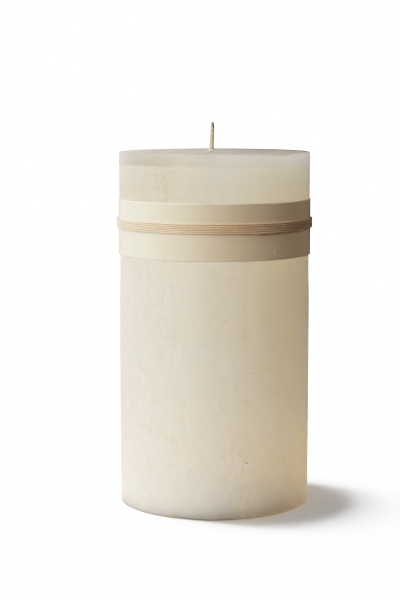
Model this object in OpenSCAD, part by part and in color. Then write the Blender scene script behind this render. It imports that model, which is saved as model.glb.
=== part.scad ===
// Unity candle: a round wax pillar with a braided wick, dressed with a ribbon and a wound cord.
// Units are millimetres. The origin is the middle of the base, +Z is up and -Y is the front.

/* [Candle] */
// Diameter of the wax pillar
candle_d = 82.5; // [60:0.5:120]
// Height of the wax pillar
candle_h = 152; // [150:1:300]
// Radius of the soft edge round the top
top_edge_r = 0.8; // [0.3:0.1:3]
// Radius of the soft edge round the base
base_edge_r = 1.2; // [0.3:0.1:3]
// Height of the small collar of wax round the wick
collar_h = 0.9; // [0.4:0.1:1]

/* [Wick] */
// Diameter of the braided wick
wick_d = 2; // [1.5:0.1:4]
// Length of wick that stands out of the wax
wick_out = 12.6; // [6:0.1:20]
// How far the wick sits to the left of the pillar's axis
wick_off = 1.4; // [0:0.1:3]
// How far the free end leans to the right, in degrees
wick_lean = 2.4; // [0:0.1:2.8]

/* [Wick sustainer] */
// Diameter of the metal disc in the base
tab_d = 20; // [12:1:33]
// Thickness of the sheet metal
tab_t = 0.3; // [0.2:0.05:0.5]
// Height of the crimped neck
neck_h = 6; // [3:0.5:9]

/* [Ribbon] */
// Width of the ribbon
ribbon_w = 23.8; // [10:0.1:40]
// Height of the ribbon's lower edge above the base
ribbon_z = 108.1; // [20:0.1:110]
// Thickness of the ribbon
ribbon_t = 0.22; // [0.18:0.02:0.4]
// Angle round the pillar that the overlap at the back takes up
lap_a = 16; // [12:2:20]
// Thickness of the double-sided tape in the overlap
tape_t = 0.1; // [0.08:0.02:0.2]
// Distance from the tape to the ribbon's long edges
tape_inset = 2; // [1:0.5:3]

/* [Cord] */
// Diameter of the cord
cord_d = 0.7; // [0.5:0.05:0.7]
// Number of turns round the ribbon
cord_turns = 6; // [3:1:8]
// Rise of the cord in one turn
cord_pitch = 0.72; // [0.72:0.02:1]
// Height of the winding's middle above the ribbon's lower edge
cord_mid = 13.4; // [8:0.1:16]
// Length of the two cut ends below the knot
tail_len = 9; // [4:0.5:10]
// Angle of each cut end from straight down, in degrees
tail_splay = 17; // [5:1:30]

/* [Hidden] */

$fn = 96;
eps = 0.01;

// Running gaps between the pieces
bore_gap = 0.05;
tab_gap = 0.3;
slide_gap = 0.1;
cord_gap = 0.14;
crimp = 0.05;

// Wax and wick
candle_r = candle_d / 2;
wick_r = wick_d / 2;
wick_tip_r = wick_r * 0.7;
wick_root = 0.5;
collar_base_r = wick_r * 2.6;
collar_top_r = wick_r * 1.3;

// Sustainer: the disc sits at the top of a shallow recess
recess_h = 0.8;
neck_r = wick_r + 0.6;
root_r = neck_r + 1.2;
root_h = 0.6;

// Ribbon: one layer all round, and a second one over the tape at the back
back_a = 90;
wrap_step_a = 2;
band_r = candle_r + slide_gap;
band_out_r = band_r + ribbon_t;
flap_lift = ribbon_t + tape_t;
lap_start_a = back_a - lap_a / 2;
jog_a = 4;

// Cord: its centre line runs at cord_r and rises over the flap
cord_half = cord_d / 2;
cord_r = band_out_r + cord_gap + cord_half;
cord_z = ribbon_z + cord_mid;
cord_rise = cord_turns * cord_pitch;
turn_steps = 48;
cord_sides = 8;
rings = cord_turns * turn_steps + 1;
lift_full_a = lap_a / 2 + jog_a + 2;
lift_end_a = lift_full_a + 14;

// Knot: it stands on the winding at the back
knot_y = cord_r + flap_lift + cord_d;
knot_loop_r = cord_d * 1.1;
knot_loop_x = cord_d * 0.55;
knot_loop_y = cord_d * 0.35;
knot_tilt = 25;

function smooth(t) = t <= 0 ? 0 : t >= 1 ? 1 : t * t * (3 - 2 * t);

// How much of the flap's lift the cord has at angle a
function lift_share(a) = 1 - smooth((abs((a % 360) - back_a) - lift_full_a) / (lift_end_a - lift_full_a));

// Point number k of the cord's ring number i
function cord_point(i, k) =
    let (a = back_a + 360 * i / turn_steps)
    let (t = 360 * k / cord_sides)
    let (r = cord_r + flap_lift * lift_share(a) + cord_half * cos(t))
    [r * cos(a), r * sin(a), cord_z - cord_rise / 2 + cord_rise * i / (rings - 1) + cord_half * sin(t)];

// Outline of a cylinder with two rounded edges, to be turned about its axis
module pillar_outline() {
    translate([0, base_edge_r])
        square([candle_r, candle_h - base_edge_r - top_edge_r]);
    square([candle_r - base_edge_r, candle_h / 2]);
    translate([0, candle_h / 2])
        square([candle_r - top_edge_r, candle_h / 2]);
    translate([candle_r - base_edge_r, base_edge_r])
        circle(r = base_edge_r);
    translate([candle_r - top_edge_r, candle_h - top_edge_r])
        circle(r = top_edge_r);
}

// The pillar, bored for the wick and recessed for its sustainer
module wax_pillar() {
    color("ivory")
        difference() {
            union() {
                rotate_extrude()
                    intersection() {
                        pillar_outline();
                        square([candle_r, candle_h]);
                    }
                translate([-wick_off, 0, candle_h - eps])
                    cylinder(r1 = collar_base_r, r2 = collar_top_r, h = collar_h + eps);
            }
            translate([-wick_off, 0, 0]) {
                translate([0, 0, -1])
                    cylinder(r = wick_r + bore_gap, h = candle_h + collar_h + 2);
                translate([0, 0, -1])
                    cylinder(r = tab_d / 2 + tab_gap, h = recess_h + 1);
                cylinder(r = neck_r + bore_gap, h = recess_h + neck_h + bore_gap);
                cylinder(r = root_r + bore_gap, h = recess_h + root_h + bore_gap);
            }
        }
}

// Straight inside the wax, leaning above it, with a rounded tip
module wick() {
    color("tan")
        translate([-wick_off, 0, 0]) {
            translate([0, 0, recess_h - tab_t])
                cylinder(r = wick_r, h = candle_h - recess_h + tab_t);
            translate([0, 0, candle_h])
                rotate([0, wick_lean, 0])
                    rotate_extrude()
                        wick_end_outline();
        }
}

// Outline of the wick's free end, from just under the top of the wax to the tip
module wick_end_outline() {
    translate([0, -wick_root])
        square([wick_r, wick_root + wick_out - wick_tip_r]);
    square([wick_r - wick_tip_r, wick_out]);
    translate([wick_r - wick_tip_r, wick_out - wick_tip_r])
        intersection() {
            circle(r = wick_tip_r);
            square(wick_tip_r);
        }
}

// Disc with a neck that is crimped round the wick
module wick_sustainer() {
    color("silver")
        translate([-wick_off, 0, recess_h - tab_t])
            difference() {
                union() {
                    cylinder(r = tab_d / 2, h = tab_t);
                    cylinder(r1 = root_r, r2 = neck_r, h = tab_t + root_h);
                    cylinder(r = neck_r, h = tab_t + neck_h);
                }
                translate([0, 0, -1])
                    cylinder(r = wick_r - crimp, h = tab_t + neck_h + 2);
            }
}

// Inner radius of the ribbon at angle a, which counts on past a full turn
function ribbon_r(a) = band_r + flap_lift * smooth((a - lap_start_a - 360 + jog_a) / jog_a);

// A strip of thickness t that follows the ribbon from angle a0 to a1, off its inner face by lift
module wrap(a0, a1, lift, t, h) {
    linear_extrude(height = h)
        polygon(concat(
            [for (a = [a0 : wrap_step_a : a1]) (ribbon_r(a) + lift + t) * [cos(a), sin(a)]],
            [for (a = [a1 : -wrap_step_a : a0]) (ribbon_r(a) + lift) * [cos(a), sin(a)]]
        ));
}

// One layer round the pillar, which ends in a flap over its own start
module ribbon_band() {
    color("antiquewhite")
        translate([0, 0, ribbon_z])
            wrap(lap_start_a, lap_start_a + 360 + lap_a, 0, ribbon_t, ribbon_w);
}

// Tape between the two layers of the overlap
module ribbon_tape() {
    color("whitesmoke")
        translate([0, 0, ribbon_z + tape_inset])
            wrap(
                lap_start_a + wrap_step_a, lap_start_a + lap_a - wrap_step_a,
                ribbon_t, tape_t, ribbon_w - 2 * tape_inset
            );
}

// All turns in one strand, with both of its ends at the back
module cord_winding() {
    color("peru")
        polyhedron(
            points = [for (i = [0 : rings - 1]) for (k = [0 : cord_sides - 1]) cord_point(i, k)],
            faces = concat(
                [[for (k = [0 : cord_sides - 1]) k]],
                [
                    for (i = [0 : rings - 2]) for (k = [0 : cord_sides - 1])
                        let (next = (k + 1) % cord_sides, low = i * cord_sides, high = low + cord_sides)
                            [low + k, high + k, high + next, low + next]
                ],
                [[for (k = [cord_sides - 1 : -1 : 0]) (rings - 1) * cord_sides + k]]
            )
        );
}

// A straight length of cord between two points, round at both ends
module strand(from, to) {
    along = to - from;
    translate(from)
        rotate([0, acos(along[2] / norm(along)), atan2(along[1], along[0])]) {
            sphere(r = cord_half);
            cylinder(r = cord_half, h = norm(along));
            translate([0, 0, norm(along)])
                sphere(r = cord_half);
        }
}

// The two ends cross the turns, meet in two linked loops and hang down below them
module cord_knot() {
    end_y = cord_r + flap_lift;
    color("peru")
        for (side = [-1, 1]) {
            strand([0, end_y, cord_z + side * cord_rise / 2], [0, knot_y, cord_z + side * cord_rise / 2]);
            strand([0, knot_y, cord_z + side * cord_rise / 2], [0, knot_y, cord_z]);
            translate([side * knot_loop_x, knot_y + knot_loop_y, cord_z])
                rotate([90, 0, side * knot_tilt])
                    rotate_extrude()
                        translate([knot_loop_r, 0])
                            circle(r = cord_half);
            strand(
                [side * knot_loop_r, knot_y, cord_z],
                [
                    side * (knot_loop_r + tail_len * sin(tail_splay)), knot_y,
                    cord_z - tail_len * cos(tail_splay)
                ]
            );
        }
}

wax_pillar();
wick();
wick_sustainer();
ribbon_band();
ribbon_tape();
cord_winding();
cord_knot();
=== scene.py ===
import math
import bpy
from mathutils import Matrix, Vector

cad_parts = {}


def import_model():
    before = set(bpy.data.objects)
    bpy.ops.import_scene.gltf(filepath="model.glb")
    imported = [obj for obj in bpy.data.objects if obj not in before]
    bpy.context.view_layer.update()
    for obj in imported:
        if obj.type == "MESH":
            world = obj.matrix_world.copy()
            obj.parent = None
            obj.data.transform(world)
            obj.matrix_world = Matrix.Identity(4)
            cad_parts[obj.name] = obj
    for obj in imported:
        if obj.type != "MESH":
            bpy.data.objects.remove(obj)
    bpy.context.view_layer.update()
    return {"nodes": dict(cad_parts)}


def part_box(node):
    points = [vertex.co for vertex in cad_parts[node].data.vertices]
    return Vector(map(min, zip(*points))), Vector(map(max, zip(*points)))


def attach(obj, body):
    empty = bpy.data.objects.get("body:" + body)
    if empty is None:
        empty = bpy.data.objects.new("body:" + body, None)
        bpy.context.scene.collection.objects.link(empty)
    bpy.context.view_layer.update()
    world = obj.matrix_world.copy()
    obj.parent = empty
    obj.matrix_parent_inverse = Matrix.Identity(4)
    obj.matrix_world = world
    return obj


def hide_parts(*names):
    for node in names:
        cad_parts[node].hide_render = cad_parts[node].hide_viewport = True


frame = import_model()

from types import SimpleNamespace

import bpy
import numpy as np
from mathutils import Vector, noise

# Looks of the unity candle, built round its CAD frame. Lengths are in metres and angles in degrees.
# An azimuth is counted from the front (-Y) towards the right (+X).

MM = 0.001

# ---------------------------------------------------------------- places taken from the frame
WAX_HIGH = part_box("wax_pillar")[1]
WICK_LOW, WICK_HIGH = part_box("wick")
TAB_LOW, TAB_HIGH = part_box("wick_sustainer")
RIBBON_LOW, RIBBON_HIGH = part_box("ribbon_band")
CORD_LOW, CORD_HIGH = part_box("cord_winding")
KNOT_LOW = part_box("cord_knot")[0]

COLLAR_H = 0.9 * MM
RADIUS = WAX_HIGH.x
TOP = WAX_HIGH.z - COLLAR_H
WICK_X = (TAB_LOW.x + TAB_HIGH.x) / 2
WICK_R = (WICK_HIGH.y - WICK_LOW.y) / 2
RIBBON_OUT = -RIBBON_LOW.x
CORD_MID_Z = (CORD_LOW.z + CORD_HIGH.z) / 2

# ---------------------------------------------------------------- camera and light
CAMERA_DISTANCE = 0.710
CAMERA_HEIGHT = 0.1758
CAMERA_PITCH = 7.10
CAMERA_YAW = 0.505
CAMERA_LENS = 98.7
CAMERA_SENSOR = 36.0
FILM_WHITE = 6.0
FILM_STEPS = 26

# Each light: azimuth, elevation, distance, width, height, power in watts and colour.
LIGHTS = {
    "window": (-84.8, 39.6, 1.2, 1.71, 1.37, 31.5, (0.99, 1.0, 0.84)),
    "lamp": (-41.9, 17.2, 1.2, 0.41, 0.33, 13.0, (1.0, 0.77, 0.66)),
    "back_left": (-135, 12, 1.2, 0.9, 0.9, 9.4, (1.0, 0.82, 0.88)),
    "right": (94, 38, 1.2, 0.9, 0.9, 6.3, (1.0, 0.70, 0.50)),
    "right_cord": (94, 38, 1.2, 0.9, 0.9, 3.5, (1.0, 0.70, 0.50)),
    "satin": (-90, 10, 1.2, 0.7, 0.7, 9.0, (0.58, 0.88, 1.0)),
    "floor_tall": (-114, 53.5, 1.71, 0.26, 1.35, 42.0, (1.0, 1.0, 1.0)),
    "floor_high": (-112, 81.0, 0.70, 0.11, 0.16, 33.0, (1.0, 1.0, 1.0)),
    "floor_dome": (0, 89, 0.85, 3.0, 3.0, 22.0, (1.0, 1.0, 1.0)),
}


def camera():
    data = bpy.data.cameras.new("camera")
    data.sensor_width = CAMERA_SENSOR
    data.lens = CAMERA_LENS
    data.clip_start = 0.01
    data.clip_end = 50
    obj = bpy.data.objects.new("camera", data)
    obj.location = (0, -CAMERA_DISTANCE, CAMERA_HEIGHT)
    obj.rotation_euler = (math.radians(90 - CAMERA_PITCH), 0, math.radians(CAMERA_YAW))
    bpy.context.collection.objects.link(obj)
    bpy.context.scene.camera = obj


def area_light(name, lit, shading=None):
    """A soft light from LIGHTS that looks at the middle of the candle.

    lit and shading are collections: what it lights, and what shades it.
    """
    azimuth, elevation, distance, width, height, power, colour = LIGHTS[name]
    target = Vector((0, 0, TOP / 2))
    turn, rise = math.radians(azimuth), math.radians(elevation)
    away = Vector((math.sin(turn) * math.cos(rise), -math.cos(turn) * math.cos(rise), math.sin(rise)))
    data = bpy.data.lights.new(name, "AREA")
    data.shape = "RECTANGLE"
    data.size = width
    data.size_y = height
    data.energy = power
    data.color = colour
    obj = bpy.data.objects.new(name, data)
    obj.location = target + away * distance
    obj.rotation_euler = (-away).to_track_quat("-Z", "Y").to_euler()
    bpy.context.collection.objects.link(obj)
    obj.light_linking.receiver_collection = lit
    if shading is not None:
        obj.light_linking.blocker_collection = shading


# ---------------------------------------------------------------- shader helpers
def put(tree, kind, inputs=None, **settings):
    """A new shader node. An input is a constant, or the output socket that it is linked to."""
    made = tree.nodes.new(kind)
    for key, value in settings.items():
        setattr(made, key, value)
    for key, value in (inputs or {}).items():
        if isinstance(value, bpy.types.NodeSocket):
            tree.links.new(value, made.inputs[key])
        else:
            made.inputs[key].default_value = value
    return made


def maths(tree, operation, a, b=0.0, clamp=False):
    return put(tree, "ShaderNodeMath", {0: a, 1: b}, operation=operation, use_clamp=clamp).outputs[0]


def times(tree, *factors):
    """The product of two or more values."""
    product = factors[0]
    for factor in factors[1:]:
        product = maths(tree, "MULTIPLY", product, factor)
    return product


def plus(tree, a, b):
    return maths(tree, "ADD", a, b)


def minus(tree, a, b):
    return maths(tree, "SUBTRACT", a, b)


def length_of(tree, vector, from_point=(0, 0, 0)):
    """How far vector is from a point."""
    made = put(tree, "ShaderNodeVectorMath", {0: vector, 1: from_point}, operation="DISTANCE")
    return made.outputs["Value"]


def fade(tree, value, low, high, to_low=0.0, to_high=1.0):
    """A smooth step of value, from to_low at low to to_high at high."""
    inputs = {"Value": value, "From Min": low, "From Max": high, "To Min": to_low, "To Max": to_high}
    return put(tree, "ShaderNodeMapRange", inputs, interpolation_type="SMOOTHSTEP").outputs["Result"]


def mix_colour(tree, share, a, b, blend="MIX"):
    made = tree.nodes.new("ShaderNodeMix")
    made.data_type = "RGBA"
    made.blend_type = blend
    factor, first, second = made.inputs[0], made.inputs[6], made.inputs[7]
    for socket, value in ((factor, share), (first, a), (second, b)):
        if isinstance(value, bpy.types.NodeSocket):
            tree.links.new(value, socket)
        elif socket is factor:
            socket.default_value = value
        else:
            socket.default_value = (*value, 1.0)
    return made.outputs[2]


def place(tree, stretch=(1, 1, 1), turn=(0, 0, 0)):
    """Object coordinates, in metres, scaled axis by axis and turned."""
    coords = put(tree, "ShaderNodeTexCoord").outputs["Object"]
    rotation = [math.radians(angle) for angle in turn]
    inputs = {"Vector": coords, "Scale": stretch, "Rotation": rotation}
    return put(tree, "ShaderNodeMapping", inputs).outputs["Vector"]


def wrapped(tree, stretch=(1, 1, 1)):
    """The piece's own coordinates: metres along it and the share of its width or girth."""
    where = put(tree, "ShaderNodeUVMap", uv_map="wrap").outputs["UV"]
    return put(tree, "ShaderNodeMapping", {"Vector": where, "Scale": stretch}).outputs["Vector"]


def grain(tree, vector, size, detail=3.0, rough=0.55, warp=0.0):
    """Noise whose blobs are about size metres across, as a value from 0 to 1."""
    inputs = {"Vector": vector, "Scale": 1 / size, "Detail": detail, "Roughness": rough, "Distortion": warp}
    return put(tree, "ShaderNodeTexNoise", inputs).outputs["Fac"]


def bump(tree, height, depth, normal=None):
    """A bump whose height of 0 to 1 stands for depth metres."""
    inputs = {"Height": height, "Distance": depth, "Strength": 1.0}
    if normal is not None:
        inputs["Normal"] = normal
    return put(tree, "ShaderNodeBump", inputs).outputs["Normal"]


FINISHES = {}


def material(name):
    made = bpy.data.materials.new(name)
    FINISHES[name] = made
    made.use_nodes = True
    tree = made.node_tree
    return made, tree, tree.nodes["Principled BSDF"]


def feed(tree, shader, **inputs):
    """Sets or links the shader's sockets; a name's underscores stand for spaces."""
    for key, value in inputs.items():
        socket = shader.inputs[key.replace("_", " ")]
        if isinstance(value, bpy.types.NodeSocket):
            tree.links.new(value, socket)
        else:
            socket.default_value = value


# ---------------------------------------------------------------- materials
WAX_WARM = (0.980, 0.864, 0.62)
WAX_PALE = (0.985, 0.898, 0.69)
WAX_FROST = (0.990, 0.945, 0.79)
# Painted light: warm glows on the shaded right side, where light through the wax comes out.
WAX_PEACH_GLOW = (0.992, 0.850, 0.63)
WAX_AMBER_GLOW = (0.96, 0.83, 0.50)
WAX_VEIN = (0.84, 0.73, 0.51)
WAX_CLEAR = (0.925, 0.88, 0.73)
# Painted reflection: the paler colour of the top face's right side.
WAX_TOP_REFLECTION = (0.99, 0.975, 0.87)
WAX_DEPTH = 350 * MM
# Painted shade in a pinhole, which has no hollow in the mesh.
PINHOLE_SHADE = (0.16, 0.12, 0.08)
PINHOLE_AZIMUTH = 19.2
PINHOLE_Z = 23.8 * MM
PINHOLE_R = 0.2 * MM


def wax_marks(tree):
    """The wax's grains and zones, each a value from 0 to 1, except height (metres)."""
    coords = put(tree, "ShaderNodeTexCoord").outputs["Object"]
    split = put(tree, "ShaderNodeSeparateXYZ", {"Vector": coords})
    height, across = split.outputs["Z"], split.outputs["X"]
    level = put(tree, "ShaderNodeVectorMath", {0: coords, 1: (1, 1, 0)}, operation="MULTIPLY")
    level = level.outputs["Vector"]

    streaks = grain(tree, place(tree, (1, 1, 0.12)), 1.7 * MM, detail=4, rough=0.65)
    bands = grain(tree, place(tree, (1, 1, 0.05)), 6 * MM, detail=2)
    clouds = grain(tree, place(tree, (1, 1, 0.55)), 11 * MM, detail=4, rough=0.6)
    feather = grain(tree, place(tree, (1, 1, 0.45), (10, 7, 0)), 1.6 * MM, detail=5, rough=0.7, warp=1.2)
    crackle = grain(tree, place(tree, (1, 1, 0.6), (0, 12, 0)), 5 * MM, detail=4, rough=0.6, warp=0.8)
    speckle = grain(tree, coords, 0.8 * MM, detail=3, rough=0.7)
    patches = grain(tree, place(tree, (1, 1, 0.5)), 15 * MM, detail=2)
    wander = grain(tree, coords, 14 * MM, detail=3)

    edge = plus(tree, height, times(tree, wander, 2.4 * MM))
    clear = fade(tree, edge, TOP - 5.0 * MM, TOP - 3.6 * MM)
    matt = minus(tree, 1.0, clear)
    left = fade(tree, across, 12 * MM, -36 * MM)
    # The frost is the wax's own, but its larger share on the left, where the light falls, is painted light.
    zone = times(tree, fade(tree, plus(tree, patches, times(tree, left, 0.20)), 0.50, 0.68), matt)
    ridge = maths(tree, "ABSOLUTE", minus(tree, crackle, 0.5))
    turn = math.radians(PINHOLE_AZIMUTH)
    pinhole = (RADIUS * math.sin(turn), -RADIUS * math.cos(turn), PINHOLE_Z)
    return SimpleNamespace(
        height=height, across=across, left=left, clear=clear, matt=matt,
        streaks=streaks, bands=bands, clouds=clouds, feather=feather, speckle=speckle,
        frost=times(tree, fade(tree, feather, 0.47, 0.60), zone),
        veins=times(tree, fade(tree, ridge, 0.028, 0.004), zone),
        lid=fade(tree, length_of(tree, level), RADIUS - 2 * MM, RADIUS - MM, 1.0, 0.0),
        collar=fade(tree, length_of(tree, level, (WICK_X, 0, 0)), 1.5 * MM, 4.5 * MM, 1.0, 0.0),
        pit=fade(tree, length_of(tree, coords, pinhole), PINHOLE_R * 2.4, PINHOLE_R * 1.6),
    )


def wax_colour(tree, marks):
    """Warm and pale clouds under frost and veins, a painted warm glow high on the right, a clear zone under
    the rim with a painted reflection on the top face's right side; painted shade is multiplied in and painted
    into the pinhole.
    """
    body = mix_colour(tree, fade(tree, marks.clouds, 0.36, 0.64), WAX_WARM, WAX_PALE)
    body = mix_colour(tree, fade(tree, marks.streaks, 0.35, 0.65, 0.0, 0.40), body, WAX_PALE)
    body = mix_colour(tree, fade(tree, marks.speckle, 0.55, 0.75, 0.0, 0.35), body, WAX_FROST)
    body = mix_colour(tree, times(tree, marks.frost, 0.85), body, WAX_FROST)
    body = mix_colour(tree, times(tree, marks.veins, 0.9), body, WAX_VEIN)
    # Painted warm glow: a peach tint on the right half, from mid-height up.
    right_half = fade(tree, marks.across, -22 * MM, 0.0, 0.0, 0.45)
    peach_glow = times(tree, fade(tree, marks.height, 60 * MM, 90 * MM), right_half)
    body = mix_colour(tree, peach_glow, body, WAX_PEACH_GLOW)
    # Painted warm glow: an amber tint on the right, from about the ribbon's top edge upwards.
    right_edge = fade(tree, marks.across, -2 * MM, 26 * MM, 0.0, 0.6)
    amber_glow = times(tree, fade(tree, marks.height, 116 * MM, 124 * MM), right_edge)
    body = mix_colour(tree, amber_glow, body, WAX_AMBER_GLOW)
    # Painted reflection: the top face turns paler towards the right.
    flat = mix_colour(tree, fade(tree, marks.across, -15 * MM, 35 * MM), WAX_CLEAR, WAX_TOP_REFLECTION)
    body = mix_colour(tree, marks.clear, body, mix_colour(tree, marks.lid, WAX_CLEAR, flat))
    shaded = {0: body, "Scale": wax_shade(tree, marks)}
    body = put(tree, "ShaderNodeVectorMath", shaded, operation="SCALE").outputs["Vector"]
    # Painted shade in the pinhole.
    return mix_colour(tree, marks.pit, body, PINHOLE_SHADE)


def wax_shade(tree, marks):
    """What the colour is multiplied by: painted shade high on the left side and under the rim, with the wax's
    own fine streaks and bands.
    """
    # Painted shade: the upper wax darker towards the left, and the band under the rim darker except at the
    # far right.
    upper = times(tree, fade(tree, marks.height, 122 * MM, 138 * MM), minus(tree, 1.0, marks.lid))
    dim = plus(tree, fade(tree, marks.across, 6 * MM, -18 * MM, 0.0, 0.25), times(tree, marks.left, 0.20))
    rim = times(tree, marks.clear, fade(tree, marks.across, 40 * MM, 18 * MM, 0.0, 0.24))
    shade = minus(tree, 1.0, times(tree, upper, plus(tree, dim, rim)))
    streaks = fade(tree, marks.streaks, 0.30, 0.70, 0.972, 1.0)
    bands = fade(tree, marks.bands, 0.35, 0.65, 0.975, 1.0)
    return times(tree, shade, streaks, bands, fade(tree, marks.feather, 0.45, 0.34, 1.0, 0.94))


def wax_depth(tree, marks):
    """How far light spreads in the wax, in metres: least at the foot on the left, most above the ribbon."""
    at_foot = fade(tree, marks.across, -20 * MM, 30 * MM, 0.34, 0.85)
    foot = fade(tree, marks.height, 2 * MM, 30 * MM, at_foot, 1.0)
    depth = plus(tree, foot, fade(tree, marks.height, RIBBON_LOW.z, RIBBON_HIGH.z, 0.0, 0.5))
    return times(tree, depth, WAX_DEPTH)


def wax_weight(tree, marks):
    """The share of light that enters the wax: less in frost and specks, at the wick and in the pinhole."""
    veil = plus(tree, times(tree, marks.frost, 0.30), fade(tree, marks.speckle, 0.5, 0.7, 0.0, 0.10))
    weight = minus(tree, 0.96, times(tree, veil, marks.matt))
    at_wick = minus(tree, 1.0, times(tree, marks.collar, 0.7))
    return times(tree, weight, minus(tree, 1.0, marks.pit), at_wick)


def wax_material():
    """Translucent ivory wax: clear and smooth under the rim, mottled, streaked and frosted below it."""
    made, tree, shader = material("wax")
    marks = wax_marks(tree)
    rough = minus(tree, fade(tree, marks.feather, 0.3, 0.7, 0.44, 0.58), times(tree, marks.clear, 0.14))
    relief = plus(tree, times(tree, marks.streaks, 0.4), times(tree, marks.speckle, 0.15))
    relief = plus(tree, relief, times(tree, marks.frost, 0.5))
    relief = minus(tree, relief, times(tree, marks.veins, 0.9))
    shader.subsurface_method = "RANDOM_WALK"
    feed(tree, shader, Base_Color=wax_colour(tree, marks), Roughness=rough, IOR=1.44)
    feed(tree, shader, Normal=bump(tree, relief, 0.12 * MM), Subsurface_Radius=(1.0, 0.81, 0.57))
    feed(tree, shader, Subsurface_Weight=wax_weight(tree, marks), Subsurface_Scale=wax_depth(tree, marks))
    return made


# Two colours that are mixed thread by thread, or speck by speck, in one material.
RIBBON_THREADS = ((0.76, 0.68, 0.485), (0.90, 0.83, 0.64))
RIBBON_BACK = ((0.92, 0.90, 0.84), (0.96, 0.94, 0.90))
CORD_FIBRES = ((0.61, 0.43, 0.25), (0.87, 0.67, 0.45))
WICK_COTTON = ((0.44, 0.39, 0.29), (0.62, 0.56, 0.45))
TINNED_STEEL = ((0.62, 0.62, 0.60), (0.40, 0.39, 0.37))
TAPE_FILM = ((0.86, 0.85, 0.80), (0.93, 0.92, 0.88))
LOOSE_FIBRES = ((0.86, 0.81, 0.70), (0.96, 0.94, 0.88))

RIBBON_BANDS = (0.74, 0.65, 0.445)
RIBBON_SELVAGE = (0.86, 0.80, 0.66)
RIBBON_SHEEN = (0.85, 1.0, 1.0, 1.0)
CORD_PACKED = (0.63, 0.45, 0.27)
CORD_SHEEN = (0.9, 1.0, 1.0, 1.0)
# The wick's dark tip, also used as painted shade down its right side.
WICK_DARK_TIP_AND_SHADE = (0.13, 0.11, 0.09)


def ribbon_material():
    """Satin weave: threads along the ribbon, a faint rib across it and a closer selvage."""
    made, tree, shader = material("ribbon")
    across = put(tree, "ShaderNodeSeparateXYZ", {"Vector": wrapped(tree)}).outputs["Y"]
    along = wrapped(tree, (0.03, 1, 1))
    threads = grain(tree, along, 0.22 * MM, detail=2)
    bands = grain(tree, along, 1.9 * MM, detail=3)
    picks = grain(tree, wrapped(tree, (1, 0.2, 1)), 0.3 * MM, detail=2)
    edge = fade(tree, maths(tree, "ABSOLUTE", minus(tree, across, 0.5)), 0.462, 0.474)

    colour = mix_colour(tree, fade(tree, threads, 0.3, 0.7), *RIBBON_THREADS)
    colour = mix_colour(tree, fade(tree, bands, 0.38, 0.62, 0, 0.7), colour, RIBBON_BANDS)
    colour = mix_colour(tree, times(tree, edge, 0.5), colour, RIBBON_SELVAGE)
    normal = bump(tree, plus(tree, threads, times(tree, picks, 0.4)), 0.05 * MM)
    feed(tree, shader, Base_Color=colour, Normal=normal, Roughness=fade(tree, bands, 0.3, 0.7, 0.46, 0.56))
    feed(tree, shader, Sheen_Weight=0.8, Sheen_Roughness=0.45, Sheen_Tint=RIBBON_SHEEN)
    feed(tree, shader, Coat_Weight=0.6, Coat_Roughness=0.38, IOR=1.5)
    return made


def ribbon_back_material():
    """The ribbon's paler, plainer reverse."""
    made, tree, shader = material("ribbon_back")
    threads = grain(tree, wrapped(tree, (0.03, 1, 1)), 0.22 * MM, detail=2)
    colour = mix_colour(tree, fade(tree, threads, 0.3, 0.7), *RIBBON_BACK)
    feed(tree, shader, Base_Color=colour, Normal=bump(tree, threads, 0.03 * MM), Roughness=0.7)
    return made


def cord_material():
    """Waxed yarn: fine fibres that run slightly across the cord, darker where they are packed."""
    made, tree, shader = material("cord")
    fibres = grain(tree, wrapped(tree, (60, 9, 1)), 1.0, detail=3)
    tone = grain(tree, wrapped(tree, (18, 0.3, 1)), 1.0, detail=3)
    colour = mix_colour(tree, fade(tree, fibres, 0.3, 0.7), *CORD_FIBRES)
    colour = mix_colour(tree, fade(tree, tone, 0.35, 0.65, 0, 0.6), colour, CORD_PACKED)
    feed(tree, shader, Base_Color=colour, Normal=bump(tree, fibres, 0.05 * MM), Roughness=0.42)
    feed(tree, shader, Sheen_Weight=0.5, Sheen_Roughness=0.4, Sheen_Tint=CORD_SHEEN)
    feed(tree, shader, Coat_Weight=0.6, Coat_Roughness=0.35, IOR=1.5)
    return made


def wick_material():
    """Primed cotton, browned and darkened towards the tip; the darkening reaches further down its right side,
    which is painted shade.
    """
    made, tree, shader = material("wick")
    coords = put(tree, "ShaderNodeTexCoord").outputs["Object"]
    split = put(tree, "ShaderNodeSeparateXYZ", {"Vector": coords})
    blotch = grain(tree, coords, 0.7 * MM, detail=3)
    colour = mix_colour(tree, fade(tree, blotch, 0.3, 0.7), *WICK_COTTON)
    # Painted shade: the tip's dark colour reaches lower on the right (+X) side.
    reach = plus(tree, split.outputs["Z"], times(tree, split.outputs["X"], 2.4))
    dark_tip_and_shade = fade(tree, reach, WICK_HIGH.z - 5.6 * MM, WICK_HIGH.z - 2.4 * MM)
    colour = mix_colour(tree, dark_tip_and_shade, colour, WICK_DARK_TIP_AND_SHADE)
    feed(tree, shader, Base_Color=colour, Normal=bump(tree, blotch, 0.06 * MM), Roughness=0.62)
    feed(tree, shader, Sheen_Weight=0.2)
    return made


def metal_material():
    """Tinned steel: rolled one way, a little dull, with a few dark specks."""
    made, tree, shader = material("tinned_steel")
    rolled = grain(tree, place(tree, stretch=(1, 0.05, 1)), 0.3 * MM, detail=3)
    specks = grain(tree, place(tree), 1.1 * MM, detail=2)
    colour = mix_colour(tree, fade(tree, specks, 0.62, 0.75), *TINNED_STEEL)
    feed(tree, shader, Base_Color=colour, Metallic=1.0, Normal=bump(tree, rolled, 0.01 * MM))
    feed(tree, shader, Roughness=fade(tree, rolled, 0.3, 0.7, 0.28, 0.42))
    return made


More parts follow.
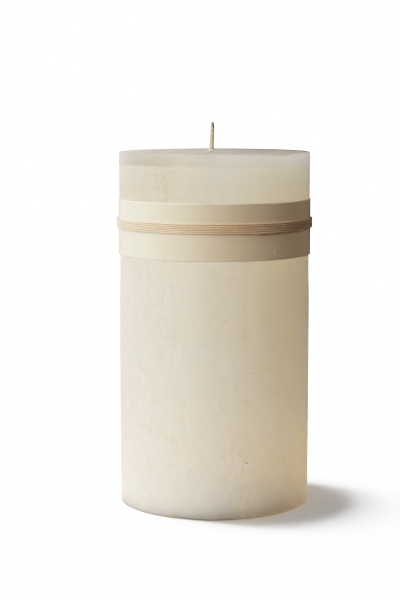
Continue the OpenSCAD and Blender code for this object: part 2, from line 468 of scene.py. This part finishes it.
def tape_material():
    """Double-sided film with a faint haze of bubbles."""
    made, tree, shader = material("tape")
    haze = grain(tree, place(tree), 1.4 * MM, detail=3)
    colour = mix_colour(tree, fade(tree, haze, 0.35, 0.65), *TAPE_FILM)
    feed(tree, shader, Base_Color=colour, Roughness=fade(tree, haze, 0.3, 0.7, 0.25, 0.4))
    return made


def fibre_material():
    """Loose pale filaments."""
    made, tree, shader = material("fibre")
    tone = grain(tree, place(tree), 1.0 * MM, detail=2)
    colour = mix_colour(tree, tone, *LOOSE_FIBRES)
    feed(tree, shader, Base_Color=colour, Roughness=0.5)
    return made


# ---------------------------------------------------------------- mesh helpers
def smooth_step(value):
    t = np.clip(value, 0.0, 1.0)
    return t * t * (3 - 2 * t)


def hump(value, middle, half_width):
    """1 at the middle, falling smoothly to 0 at half_width from it."""
    return smooth_step(1 - np.abs(np.asarray(value) - middle) / half_width)


def wave(x, y, z, seed):
    """Smooth noise from -1 to 1 at each point; x, y and z are arrays."""
    shift = 17.3 * seed
    flat = [noise.noise((a + shift, b - shift, c)) for a, b, c in zip(x.flat, y.flat, z.flat)]
    return np.array(flat).reshape(x.shape)


def link_mesh(name, points, faces, mat, uv=None):
    """A smooth-shaded mesh object. uv holds one pair for each face corner."""
    mesh = bpy.data.meshes.new(name)
    mesh.from_pydata([tuple(p) for p in points], [], [tuple(f) for f in faces])
    if uv is not None:
        layer = mesh.uv_layers.new(name="wrap")
        layer.data.foreach_set("uv", np.asarray(uv, np.float32).ravel())
    mesh.polygons.foreach_set("use_smooth", [True] * len(mesh.polygons))
    mesh.materials.append(mat)
    mesh.validate()
    mesh.update()
    obj = bpy.data.objects.new(name, mesh)
    bpy.context.collection.objects.link(obj)
    return obj


def grid_faces(rows, columns, wrap_rows, wrap_columns, first=0):
    """Quads over a grid of points that is stored row by row."""
    i = np.arange(rows if wrap_rows else rows - 1)
    j = np.arange(columns if wrap_columns else columns - 1)
    i, j = (g.ravel() for g in np.meshgrid(i, j, indexing="ij"))
    next_i, next_j = (i + 1) % rows, (j + 1) % columns
    quads = [i * columns + j, i * columns + next_j, next_i * columns + next_j, next_i * columns + j]
    return np.stack(quads, -1) + first


def arc(count, start, end):
    """Cosines and sines of count angles from start to end, in degrees."""
    angle = np.radians(np.linspace(start, end, count))
    return np.cos(angle), np.sin(angle)


# ---------------------------------------------------------------- wax pillar
SEGMENTS = 344
SIDE_ROWS = 190
TOP_EDGE = 0.9 * MM
BASE_EDGE = 0.8 * MM
RIM_DIP = 0.7 * MM
RIM_DIP_AZIMUTH = 42
RIM_DIP_HALF = 21


# Each hollow round the side: its depth, the height of its middle and how far it reaches.
HOLLOWS = ((0.30 * MM, 103 * MM, 11 * MM), (0.12 * MM, 12 * MM, 16 * MM))

# Each scale of unevenness: half its depth, its size across and along the side, and its seed.
UNEVEN = (
    (0.05 * MM, 34 * MM, 40 * MM, 1),
    (0.022 * MM, 3.4 * MM, 26 * MM, 2),
    (0.016 * MM, 1.9 * MM, 3.2 * MM, 3),
)


def side_dent(x, y, z):
    """How far the wax's side lies inside its nominal radius."""
    dent = 0
    for depth, middle, reach in HOLLOWS:
        dent = dent + depth * np.exp(-(((z - middle) / reach) ** 2))
    for depth, across, along, seed in UNEVEN:
        dent = dent + depth * (1 + wave(x / across, y / across, z / along, seed))
    return dent


def wax_rows():
    """The pillar's outline as rows of (radius, height), from the foot up the side, in and down the bore."""
    rows = []
    cos, sin = arc(7, -90, 0)
    rows += list(zip(RADIUS - BASE_EDGE + BASE_EDGE * cos, BASE_EDGE + BASE_EDGE * sin))
    side = np.linspace(BASE_EDGE, TOP - TOP_EDGE, SIDE_ROWS)[1:-1]
    rows += [(RADIUS, z) for z in side]
    cos, sin = arc(8, 0, 90)
    rows += list(zip(RADIUS - TOP_EDGE + TOP_EDGE * cos, TOP - TOP_EDGE + TOP_EDGE * sin))
    collar_foot = WICK_R * 3.4
    rows += [(r, TOP) for r in np.linspace(RADIUS - TOP_EDGE, collar_foot, 40)[1:]]
    bore = WICK_R * 1.05
    share = np.linspace(0, 1, 14)[1:]
    rows += [(collar_foot + (bore - collar_foot) * t, TOP + COLLAR_H * t ** 2.6) for t in share]
    rows += [(bore, TOP - 2 * MM), (bore, TAB_HIGH.z + 0.1 * MM)]
    neck = WICK_R + 0.65 * MM
    root = neck + 1.2 * MM
    plate = TAB_LOW.z + 0.3 * MM
    rows += [(neck, TAB_HIGH.z + 0.05 * MM), (neck, plate + 0.65 * MM)]
    rows += [(root, plate + 0.6 * MM), (root, plate)]
    rim = (TAB_HIGH.x - TAB_LOW.x) / 2 + 0.3 * MM
    rows += [(r, plate) for r in np.linspace(root, rim, 6)[1:]]
    rows += [(rim, plate * 0.5), (rim + 0.1 * MM, 0)]
    rows += [(r, 0) for r in np.linspace(rim, RADIUS - BASE_EDGE, 22)[1:-1]]
    return np.array(rows)


def wax_pillar():
    rows = wax_rows()
    r, z = (np.repeat(rows[:, k, None], SEGMENTS, axis=1) for k in (0, 1))
    azimuth = np.repeat(np.linspace(0, 360, SEGMENTS, endpoint=False)[None], len(rows), axis=0)
    turn = np.radians(azimuth)
    x, y = r * np.sin(turn), -r * np.cos(turn)

    outer = smooth_step((r - 0.9 * RADIUS) / (0.08 * RADIUS))
    r = r - side_dent(x, y, z) * outer

    dip = RIM_DIP * hump((azimuth + 180) % 360 - 180, RIM_DIP_AZIMUTH, RIM_DIP_HALF)
    near_rim = smooth_step((r - RADIUS * 0.8) / (RADIUS * 0.2)) * smooth_step((z - TOP + 7 * MM) / (7 * MM))
    on_top = smooth_step((z - TOP + 2 * MM) / (2 * MM))
    saucer = 0.25 * MM * (1 - smooth_step((r - 0.55 * RADIUS) / (0.42 * RADIUS)))
    saucer *= smooth_step((r - WICK_R * 1.6) / (WICK_R * 4))
    ripple = 0.035 * MM * (1 + wave(x / (7 * MM), y / (7 * MM), np.zeros_like(z), 4))
    ripple *= smooth_step((r - 2.4 * MM) / (3 * MM))
    z = z - dip * near_rim - (saucer + ripple) * on_top

    drift = WICK_X * (1 - smooth_step((r - 10 * MM) / (26 * MM)))
    x, y = drift + r * np.sin(turn), -r * np.cos(turn)
    points = np.stack([x, y, z], -1).reshape(-1, 3)
    faces = grid_faces(len(rows), SEGMENTS, True, True)
    obj = link_mesh("wax_body", points, faces, wax_material())
    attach(obj, "candle")
    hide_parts("wax_pillar")


# ---------------------------------------------------------------- strands
def carried_sides(along):
    """A direction at right angles to each tangent, carried along the path without a twist."""
    helper = np.array([0, 0, 1.0]) if abs(along[0, 2]) < 0.9 else np.array([1.0, 0, 0])
    side = np.zeros_like(along)
    side[0] = np.cross(along[0], helper)
    side[0] /= np.linalg.norm(side[0])
    for i in range(1, len(along)):
        carried = side[i - 1] - along[i] * np.dot(side[i - 1], along[i])
        side[i] = carried / np.linalg.norm(carried)
    return side


def sweep(path, radius, sides, lobes=0, lobe_depth=0.0, lay=1.0, close=True, start=0):
    """Points, faces and corner uvs of a tube along path. With lobes, its plies turn once every lay metres."""
    path = np.asarray(path, float)
    count = len(path)
    along = np.gradient(path, axis=0)
    along /= np.linalg.norm(along, axis=1)[:, None]
    steps = np.linalg.norm(np.diff(path, axis=0), axis=1)
    length = np.concatenate([[0], np.cumsum(steps)])
    side = carried_sides(along)
    up = np.cross(along, side)
    around = np.linspace(0, 2 * math.pi, sides, endpoint=False)
    radius = np.broadcast_to(np.asarray(radius, float).reshape(-1, 1), (count, 1)) * np.ones((1, sides))
    if lobes:
        twist = 2 * math.pi * length[:, None] / lay
        radius = radius * (1 - lobe_depth * np.abs(np.sin(lobes * (around[None] - twist) / 2)) ** 2)
    ring = side[:, None] * np.cos(around)[None, :, None] + up[:, None] * np.sin(around)[None, :, None]
    points = (path[:, None] + ring * radius[..., None]).reshape(-1, 3)
    faces = grid_faces(count, sides, False, True, start)
    u = np.repeat(np.arange(count - 1), sides)
    v = np.tile(np.arange(sides), count - 1)
    corners = np.stack(
        [
            np.stack([length[u], v / sides], -1), np.stack([length[u], (v + 1) / sides], -1),
            np.stack([length[u + 1], (v + 1) / sides], -1), np.stack([length[u + 1], v / sides], -1),
        ],
        1,
    )
    faces = [tuple(f) for f in faces]
    uvs = list(corners.reshape(-1, 2))
    if close:
        faces.append(tuple(start + sides - 1 - k for k in range(sides)))
        faces.append(tuple(start + (count - 1) * sides + k for k in range(sides)))
        uvs += [(length[0], k / sides) for k in range(sides)]
        uvs += [(length[-1], k / sides) for k in range(sides)]
    return points, faces, uvs


def strands(name, tubes, mat):
    """One mesh object out of several swept tubes, each a dict of what sweep takes."""
    points, faces, uvs, start = [], [], [], 0
    for tube in tubes:
        p, f, t = sweep(start=start, **tube)
        points.append(p)
        faces += f
        uvs += t
        start += len(p)
    return link_mesh(name, np.concatenate(points), faces, mat, uvs)


def curve_through(knots, count):
    """A smooth path of count points through the knots (Catmull-Rom)."""
    knots = np.asarray(knots, float)
    padded = np.concatenate([[2 * knots[0] - knots[1]], knots, [2 * knots[-1] - knots[-2]]])
    t = np.linspace(0, len(knots) - 1 - 1e-9, count)
    k = t.astype(int)
    f = (t - k)[:, None]
    a, b, c, d = padded[k], padded[k + 1], padded[k + 2], padded[k + 3]
    return 0.5 * (2 * b + (c - a) * f + (2 * a - 5 * b + 4 * c - d) * f**2 + (3 * b - a - 3 * c + d) * f**3)


# ---------------------------------------------------------------- wick
WICK_LEAN = 2.4
BRAID_PAIRS = 4
BRAID_TURN = 7.0 * MM
CORE_R = 0.62 * MM
STRAND_R = 0.36 * MM
STRAND_OFF = 0.72 * MM
STRAND_WEAVE = 0.07 * MM
WICK_STEPS = 620


def wick_axis(height):
    """The wick's centre at each height: upright in the wax and leaning above it, with a slight bend."""
    free = np.clip(height - TOP, 0, None)
    lean = math.tan(math.radians(WICK_LEAN))
    x = WICK_X + free * lean + 0.12 * MM * np.sin(free / (12.6 * MM) * math.pi)
    y = 0.10 * MM * np.sin(free / (9 * MM) * math.pi)
    return np.stack([x, y, height], -1)


def wick():
    """A round braid over a soft core; both thin out at the cut tip."""
    mat = wick_material()
    low, high = TAB_LOW.z + 0.2 * MM, WICK_HIGH.z - 0.15 * MM
    height = np.linspace(low, high, WICK_STEPS)
    axis = wick_axis(height)
    thin = 1 - 0.36 * smooth_step((height - high + 3.2 * MM) / (3.2 * MM)) ** 2
    thin = thin * (1.08 - 0.20 * smooth_step((height - TOP) / (11 * MM)))
    tubes = [dict(path=axis, radius=CORE_R * thin, sides=10)]
    phase = 2 * math.pi * height / BRAID_TURN
    weave = np.cos(phase * BRAID_PAIRS)
    for way in (1, -1):
        for k in range(BRAID_PAIRS):
            turn = way * phase + 2 * math.pi * (k + (0.5 if way < 0 else 0)) / BRAID_PAIRS
            off = (STRAND_OFF + way * STRAND_WEAVE * weave) * thin
            path = axis + np.stack([off * np.cos(turn), off * np.sin(turn), 0 * off], -1)
            tubes.append(dict(path=path, radius=STRAND_R * thin, sides=8))
    obj = strands("wick_braid", tubes, mat)
    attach(obj, "candle")
    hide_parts("wick")


# ---------------------------------------------------------------- ribbon
LAP_ANGLE = 16
JOG_ANGLE = 4
LAP_START = 180 - LAP_ANGLE / 2
RIBBON_T = 0.22 * MM
TAPE_T = 0.10 * MM
RIBBON_W = RIBBON_HIGH.z - RIBBON_LOW.z
EDGE_BEAD = 0.5 * MM
RIBBON_COLUMNS = 560
RIBBON_ACROSS = 44


def lap_lift(angle):
    """How far the ribbon's layer stands off the first one; angle runs on past a full turn."""
    return (RIBBON_T + TAPE_T) * smooth_step((angle - LAP_START - 360 + JOG_ANGLE) / JOG_ANGLE)


def ribbon_section(count):
    """The ribbon's cross-section, round both selvages: depth (0 inside, 1 outside) and share of its width."""
    inner = np.linspace(1, 0, count)
    outer = np.linspace(0, 1, count)
    return np.concatenate([np.stack([0 * inner, inner], -1), np.stack([1 + 0 * outer, outer], -1)])


def ribbon():
    columns, across = RIBBON_COLUMNS, RIBBON_ACROSS
    section = ribbon_section(across)
    angle = np.linspace(LAP_START, LAP_START + 360 + LAP_ANGLE, columns)
    turn = np.radians(angle)[None]
    depth, share = section[:, 0, None], section[:, 1, None]
    x, y = np.sin(turn), -np.cos(turn)
    from_edge = RIBBON_W * (0.5 - np.abs(share - 0.5))
    bead = np.exp(-((from_edge / EDGE_BEAD) ** 2))
    near_edge = np.exp(-from_edge / (3 * MM))
    side = np.where(share > 0.5, 1, -1)
    ones = np.ones_like(share * turn)
    curl = 0.02 * MM * (1 + wave(x * 3.1 * ones, y * 3.1 * ones, 2 * side * ones, 5)) * near_edge
    slack = 0.03 * MM * (1 + wave(x * 7 * ones, y * 7 * ones, share * 3 * ones, 6))
    thickness = RIBBON_T * (0.80 + 0.2 * bead)
    radius = RIBBON_OUT - RIBBON_T + lap_lift(angle)[None] + curl + slack * 0.5 + depth * thickness
    radius = radius - 0.02 * MM
    drift = 0.11 * MM * wave(x * 2.3 * ones, y * 2.3 * ones, side * ones, 7)
    drift = drift * smooth_step(np.abs(share - 0.5) / 0.5)
    z = RIBBON_LOW.z + share * RIBBON_W + drift
    points = np.stack([radius * x, radius * y, z * ones], -1)
    rows = len(section)
    flat = points.reshape(-1, 3)
    faces = grid_faces(rows, columns, True, False)
    length = np.radians(angle - LAP_START) * RIBBON_OUT
    uv_grid = np.stack([length[None] * ones, share * ones], -1).reshape(-1, 2)
    uvs = [uv_grid[k] for f in faces for k in f]
    faces = [tuple(f) for f in faces]
    for column, flip in ((0, False), (columns - 1, True)):
        for k in range(across - 1):
            inner_a, inner_b = k * columns + column, (k + 1) * columns + column
            outer_a, outer_b = (rows - 1 - k) * columns + column, (rows - 2 - k) * columns + column
            quad = (inner_a, inner_b, outer_b, outer_a)
            quad = quad[::-1] if flip else quad
            faces.append(quad)
            uvs += [uv_grid[i] for i in quad]
    obj = link_mesh("ribbon_cloth", flat, faces, ribbon_material(), uvs)
    obj.data.materials.append(ribbon_back_material())
    inside = (across - 1) * (columns - 1)
    for index in range(inside):
        obj.data.polygons[index].material_index = 1
    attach(obj, "ribbon")
    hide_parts("ribbon_band")


# ---------------------------------------------------------------- cord
CORD_TURNS = 6
CORD_PITCH = (CORD_HIGH.z - CORD_LOW.z - 0.7 * MM) / CORD_TURNS
CORD_R = 0.37 * MM
CORD_LAY = 2.4 * MM
CORD_STEP = 0.55 * MM
CORD_BED = 0.36 * MM
LOOSE_AZIMUTH = 26
KNOT_STEPS = 130
FLARE_STEPS = 12


def cord_lift(azimuth):
    """The rise of the winding over the ribbon's flap at the back."""
    off = np.abs((azimuth % 360) - 180)
    return (RIBBON_T + TAPE_T) * (1 - smooth_step((off - LAP_ANGLE / 2 - JOG_ANGLE) / 14))


def cord_winding():
    turns_per_step = CORD_STEP / (2 * math.pi * RIBBON_OUT)
    count = int(CORD_TURNS / turns_per_step)
    turn = np.linspace(0, CORD_TURNS, count)
    azimuth = 180 + 360 * turn
    angle = np.radians(azimuth)
    signed = (azimuth + 180) % 360 - 180
    ring = np.floor(turn)
    x, y = np.sin(angle), -np.cos(angle)
    wander = 0.04 * MM * wave(x * 1.7, y * 1.7, turn * 1.3, 8)
    tilt = 0.15 * MM * np.sin(angle) - 0.05 * MM
    loose = hump(signed, LOOSE_AZIMUTH, 9) * smooth_step((1.5 - turn) / 0.2)
    z = CORD_MID_Z + (turn - CORD_TURNS / 2) * CORD_PITCH + wander - tilt - 0.12 * MM * loose
    radius = RIBBON_OUT + CORD_BED + 0.05 * MM * (1 + wave(x * 3, y * 3, ring * 5.7, 9)) + cord_lift(azimuth)
    radius = radius + 0.30 * MM * loose
    path = np.stack([radius * x, radius * y, z], -1)
    tube = dict(path=path, radius=CORD_R, sides=12, lobes=3, lobe_depth=0.10, lay=CORD_LAY)
    obj = strands("cord_turns", [tube], cord_material())
    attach(obj, "cord")
    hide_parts("cord_winding")
    return path


def cord_knot(winding):
    """A reef knot of the winding's two ends over the seam, with two cut tails."""
    mat = FINISHES["cord"]
    y = KNOT_LOW.y + 1.05 * MM
    start, end = winding[0], winding[-1]
    mid = (start[2] + end[2]) / 2
    left = [
        start, start + [0.9 * MM, 0.35 * MM, 0], [1.5 * MM, y - 0.1 * MM, start[2] + 0.9 * MM],
        [0.5 * MM, y, mid - 0.5 * MM], [-0.7 * MM, y + 0.35 * MM, mid - 0.1 * MM],
        [-0.9 * MM, y + 0.55 * MM, mid + 0.7 * MM], [0.1 * MM, y + 0.75 * MM, mid + 0.8 * MM],
        [0.8 * MM, y + 0.35 * MM, mid - 0.3 * MM], [1.6 * MM, y + 0.05 * MM, mid - 2.6 * MM],
        [2.4 * MM, y - 0.2 * MM, mid - 5.8 * MM], [3.4 * MM, y - 0.35 * MM, mid - 8.9 * MM],
    ]
    right = [
        end, end + [-0.9 * MM, 0.35 * MM, 0], [-1.5 * MM, y - 0.1 * MM, end[2] - 0.9 * MM],
        [-0.5 * MM, y, mid + 0.5 * MM], [0.7 * MM, y + 0.35 * MM, mid + 0.3 * MM],
        [0.9 * MM, y + 0.55 * MM, mid - 0.5 * MM], [-0.1 * MM, y + 0.75 * MM, mid - 0.7 * MM],
        [-0.9 * MM, y + 0.35 * MM, mid - 0.9 * MM], [-1.7 * MM, y + 0.05 * MM, mid - 3.4 * MM],
        [-2.2 * MM, y - 0.2 * MM, mid - 6.4 * MM], [-3.6 * MM, y - 0.35 * MM, mid - 9.2 * MM],
    ]
    tubes = []
    for knots in (left, right):
        path = curve_through(knots, KNOT_STEPS)
        flare = 1 + 0.18 * smooth_step((np.arange(KNOT_STEPS) - KNOT_STEPS + FLARE_STEPS) / FLARE_STEPS)
        tubes.append(dict(path=path, radius=CORD_R * flare, sides=12, lobes=3, lobe_depth=0.10, lay=CORD_LAY))
    obj = strands("cord_tie", tubes, mat)
    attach(obj, "cord")
    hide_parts("cord_knot")


# ---------------------------------------------------------------- loose fibres
HAIRS = 46
TUFT_HAIRS = 7
HAIR_STEPS = 7
HAIR_LENGTH = 1.5 * MM
HAIR_R = 0.035 * MM
HAIR_BEND = 0.22


def fibre_tubes(generator, roots, length, radius, stiffness):
    """Short curled hairs that start at the roots, (point, direction) pairs."""
    tubes = []
    for root, direction in roots:
        heading = np.array(direction, float)
        bend = generator.normal(0, stiffness, 3)
        points = [np.array(root, float)]
        for _ in range(HAIR_STEPS):
            heading = heading + bend
            heading /= np.linalg.norm(heading)
            points.append(points[-1] + heading * length * generator.uniform(0.7, 1.3) / HAIR_STEPS)
        taper = np.linspace(1, 0.45, HAIR_STEPS + 1)
        tubes.append(dict(path=points, radius=radius * taper, sides=5))
    return tubes


def fuzz(winding):
    """Hairs that stand off the cord, with a small tuft where its lowest turn is loose."""
    generator = np.random.default_rng(7)
    roots = []
    for index in generator.integers(0, len(winding), HAIRS):
        point = winding[index]
        out = np.array([point[0], point[1], 0]) / math.hypot(point[0], point[1])
        tangent = np.array([-out[1], out[0], 0])
        heading = 0.35 * out + tangent * generator.choice([-1, 1]) + [0, 0, generator.uniform(-0.6, 0.6)]
        roots.append((point + out * CORD_R * 0.9, heading))
    angle = math.radians(LOOSE_AZIMUTH + 1)
    out = np.array([math.sin(angle), -math.cos(angle), 0])
    tangent = np.array([-out[1], out[0], 0])
    for _ in range(TUFT_HAIRS):
        sideways = tangent * generator.uniform(-1.4, 1.6) * MM
        root = out * (RIBBON_OUT + 0.12 * MM) + sideways + [0, 0, CORD_MID_Z - 3.1 * MM]
        heading = out * 0.15 + tangent * generator.uniform(-1, 1) + [0, 0, generator.uniform(-1, 0.1)]
        roots.append((root, heading))
    tubes = fibre_tubes(generator, roots, HAIR_LENGTH, HAIR_R, HAIR_BEND)
    obj = strands("cord_fuzz", tubes, fibre_material())
    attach(obj, "cord")


# Each loose thread: azimuth, height above the ribbon's lower edge and size.
THREADS = ((38.5, 2.6 * MM, 1.5 * MM), (74, 2.2 * MM, 1.1 * MM))
THREAD_R = 0.08 * MM
THREAD_TURNS = 0.8
THREAD_START = 0.8


def loose_threads():
    """Two curled filaments that have worked out of the ribbon's lower selvage."""
    tubes = []
    for azimuth, height, size in THREADS:
        t = np.linspace(0, 1, 40)
        phase = 2 * math.pi * THREAD_TURNS * t + THREAD_START
        narrowing = 1 - 0.35 * t
        around = math.radians(azimuth) + size / RIBBON_OUT * np.cos(phase) * narrowing
        z = RIBBON_LOW.z + height + size * 1.15 * np.sin(phase) * narrowing
        radius = RIBBON_OUT + 0.07 * MM + 0.07 * MM * np.sin(math.pi * t)
        path = np.stack([radius * np.sin(around), -radius * np.cos(around), z], -1)
        tubes.append(dict(path=path, radius=THREAD_R, sides=6))
    obj = strands("ribbon_threads", tubes, FINISHES["fibre"])
    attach(obj, "ribbon")


# ---------------------------------------------------------------- carried-over CAD nodes
def dress_node(node, mat):
    """Gives a CAD node that stays in view its finish."""
    slots = frame["nodes"][node].material_slots
    for index in range(len(slots)):
        slots[index].material = mat


# ---------------------------------------------------------------- stage
FLOOR_SIZE = 6.0
FLOOR_Z = -0.2 * MM
FLOOR_NEAR = (0.785, 0.80, 0.82, 1)
CARD_WIDE = (0.49, 0.42, 0.35)
# Painted bounce light: close to the candle's right foot the floor throws back more light than falls on it.
CARD_CLOSE_GLOW = (2.6, 2.1, 1.5)
CARD_FAR = (0.01, 0.01, 0.01)
WHITE = 6.0
ROOM_TINT = (1.0, 0.90, 0.80, 1)
ROOM_POWER = 0.015


def floor():
    """A pale sweep: bright where the camera sees it, duller in what it throws back at the candle, save a
    painted glow of bounce light close to the candle's right foot.
    """
    mesh = bpy.data.meshes.new("floor")
    half = FLOOR_SIZE / 2
    corners = [(x * half, y * half, FLOOR_Z) for x, y in ((-1, -1), (1, -1), (1, 1), (-1, 1))]
    mesh.from_pydata(corners, [], [(0, 1, 2, 3)])
    mat = bpy.data.materials.new("floor")
    mat.use_nodes = True
    tree = mat.node_tree
    tree.nodes.clear()
    ray = put(tree, "ShaderNodeLightPath").outputs["Is Camera Ray"]
    spot = put(tree, "ShaderNodeTexCoord").outputs["Object"]
    away = put(tree, "ShaderNodeVectorMath", {0: spot}, operation="LENGTH").outputs["Value"]
    near = put(tree, "ShaderNodeBsdfDiffuse", {"Color": FLOOR_NEAR}).outputs[0]
    far = put(tree, "ShaderNodeEmission", {"Color": (1, 1, 1, 1), "Strength": WHITE}).outputs[0]
    seen = put(tree, "ShaderNodeMixShader", {0: fade(tree, away, 0.13, 0.30), 1: near, 2: far}).outputs[0]
    right = put(tree, "ShaderNodeSeparateXYZ", {"Vector": spot}).outputs["X"]
    right = fade(tree, right, -0.01, 0.04)
    wide = mix_colour(tree, fade(tree, away, 0.055, 0.12), CARD_WIDE, CARD_FAR)
    # Painted bounce light close to the right foot.
    close = mix_colour(tree, fade(tree, away, 0.048, 0.078), CARD_CLOSE_GLOW, CARD_FAR)
    card = mix_colour(tree, right, wide, close)
    bounced = put(tree, "ShaderNodeBsdfDiffuse", {"Color": card}).outputs[0]
    both = put(tree, "ShaderNodeMixShader", {0: ray, 1: bounced, 2: seen}).outputs[0]
    put(tree, "ShaderNodeOutputMaterial", {"Surface": both})
    mesh.materials.append(mat)
    obj = bpy.data.objects.new("floor", mesh)
    bpy.context.collection.objects.link(obj)


def world():
    """White behind the candle; a dim, slightly warm room for everything that the camera doesn't see."""
    made = bpy.data.worlds.new("studio")
    made.use_nodes = True
    tree = made.node_tree
    tree.nodes.clear()
    ray = put(tree, "ShaderNodeLightPath").outputs["Is Camera Ray"]
    seen = put(tree, "ShaderNodeBackground", {"Color": (1, 1, 1, 1), "Strength": WHITE}).outputs[0]
    room = put(tree, "ShaderNodeBackground", {"Color": ROOM_TINT, "Strength": ROOM_POWER}).outputs[0]
    both = put(tree, "ShaderNodeMixShader", {0: ray, 1: room, 2: seen}).outputs[0]
    put(tree, "ShaderNodeOutputWorld", {"Surface": both})
    bpy.context.scene.world = made


def collection(name, objects):
    made = bpy.data.collections.new(name)
    for obj in objects:
        made.objects.link(obj)
    return made


def studio():
    """A window at the left and a warm lamp nearer the front for the candle; the floor has lights of its own.

    The light from the right is dimmer on the cord. The thin ribbon doesn't shade the wax under it, so the wax
    glows evenly up to the ribbon's edges.
    """
    ground = bpy.data.objects["floor"]
    solids = [obj for obj in bpy.context.scene.objects if obj.type == "MESH" and obj is not ground]
    candle, below = collection("lit_candle", solids), collection("lit_floor", [ground])
    band = ("ribbon_cloth", "ribbon_band", "ribbon_tape")
    shading = collection("shading", [obj for obj in solids if obj.name not in band])
    cords = [obj for obj in solids if obj.name.startswith("cord_")]
    cloth = [obj for obj in solids if obj.name in ("ribbon_cloth", "cord_turns")]
    for name in ("window", "lamp", "back_left"):
        area_light(name, candle, shading)
    area_light("right", collection("lit_right", [obj for obj in solids if obj not in cords]), shading)
    area_light("right_cord", collection("lit_cord", cords), shading)
    area_light("satin", collection("lit_cloth", cloth), shading)
    for name in ("floor_tall", "floor_high", "floor_dome"):
        area_light(name, below)


def film():
    """A soft shoulder, 1 - exp(-x), so that bright cloth and wax keep their shading below white."""
    view = bpy.context.scene.view_settings
    view.view_transform = "Standard"
    view.use_curve_mapping = True
    mapping = view.curve_mapping
    mapping.white_level = (FILM_WHITE, FILM_WHITE, FILM_WHITE)
    curve = mapping.curves[3]
    for step in range(1, FILM_STEPS):
        exposure = FILM_WHITE * (step / FILM_STEPS) ** 2
        curve.points.new(exposure / FILM_WHITE, 1 - math.exp(-exposure))
    for point in curve.points:
        point.handle_type = "VECTOR"
    mapping.update()


# ---------------------------------------------------------------- the scene
camera()
film()
world()
floor()
wax_pillar()
wick()
ribbon()
winding = cord_winding()
cord_knot(winding)
fuzz(winding)
loose_threads()
dress_node("wick_sustainer", metal_material())
dress_node("ribbon_tape", tape_material())
studio()
